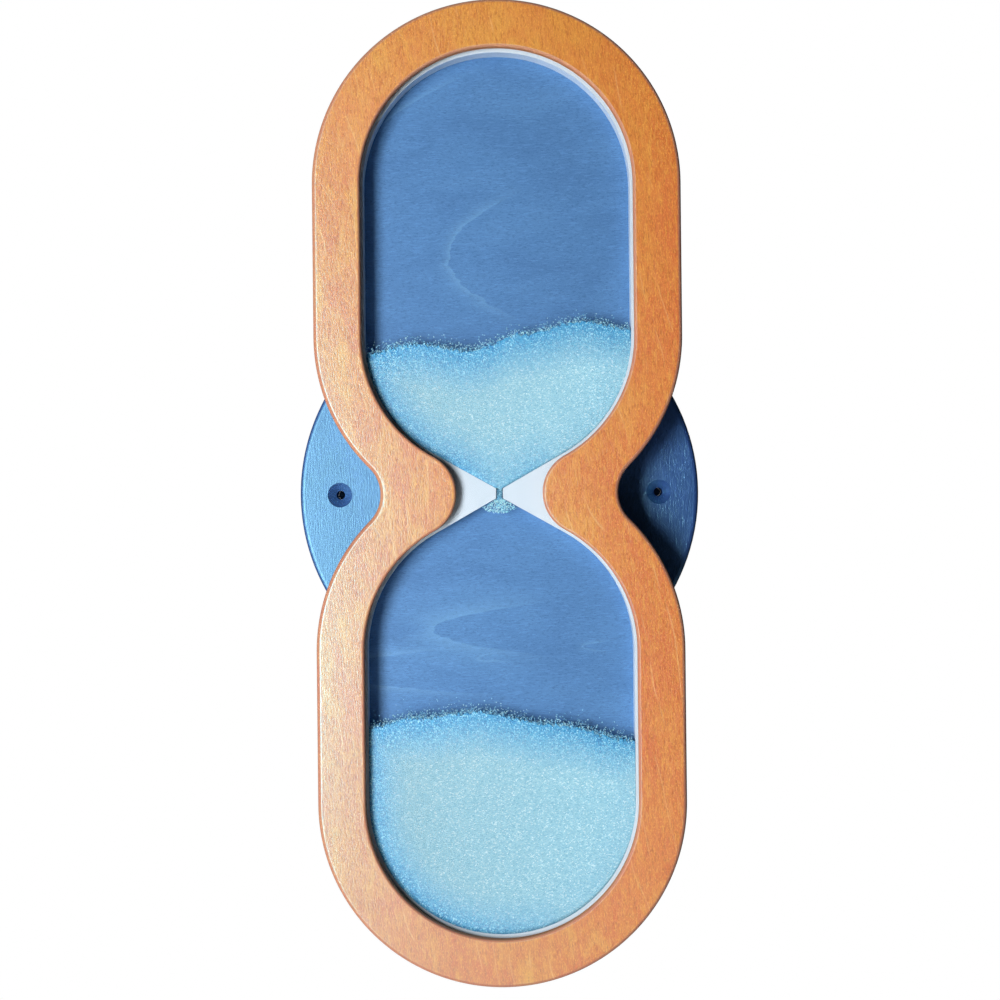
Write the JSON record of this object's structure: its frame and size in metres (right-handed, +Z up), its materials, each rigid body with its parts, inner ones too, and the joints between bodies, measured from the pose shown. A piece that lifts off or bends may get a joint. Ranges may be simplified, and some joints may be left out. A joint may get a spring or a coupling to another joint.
{
  "type": "wall-mounted turning sand timer",
  "caption": "Flat wall sand timer: two-lobed wooden frame with a clear sand chamber, turning on a pivot in a round wall disc.",
  "frame": {"origin": "on the pivot axis, in the back face of the wall disc, which is the centre of the two wall screw holes", "axes": "+Z up along the timer, +Y into the wall, so the front looks along -Y; +X to the right seen from the front"},
  "size_m": [0.25, 0.05, 0.5998],
  "materials": {
    "frame_wood": "orange-stained wood under a satin clear lacquer",
    "panel_wood": "blue-stained wood under a satin clear lacquer",
    "disc_wood": "blue-stained wood under a satin clear lacquer",
    "core_plastic": "smooth white plastic",
    "clear_pane": "clear polished acrylic sheet",
    "sand": "pale blue sand with fine sparkling grains",
    "seal_rubber": "black rubber cord",
    "glide_plastic": "off-white low-friction plastic",
    "bronze": "plain bronze",
    "zinc_steel": "bright zinc-plated steel",
    "zinc_screw": "bright zinc-plated steel",
    "steel_plate": "plain rolled steel",
    "spring_steel": "dark spring steel",
    "nut_plastic": "blue nylon"
  },
  "bodies": {
    "wall_mount": {"wall_disc": "disc_wood", "pivot_bush": "bronze", "glide_ring": "glide_plastic"},
    "timer": {"pivot_bolt": "zinc_steel", "pivot_flange": "steel_plate", "flange_screws": "zinc_screw", "thrust_washer": "glide_plastic", "rear_washer": "zinc_steel", "spring_washer": "spring_steel", "lock_nut": "zinc_steel", "nut_insert": "nut_plastic", "back_panel": "panel_wood", "front_frame": "frame_wood", "frame_screws": "zinc_screw", "chamber_core": "core_plastic", "rear_seal": "seal_rubber", "front_seal": "seal_rubber", "window_pane": "clear_pane", "upper_sand": "sand", "lower_sand": "sand", "falling_sand": "sand"}
  },
  "joints": [
    {"name": "timer_turn", "type": "hinge", "parent": "wall_mount", "child": "timer", "pos_m": [0, 0, 0], "axis": [0, 1, 0], "continuous": true}
  ]
}
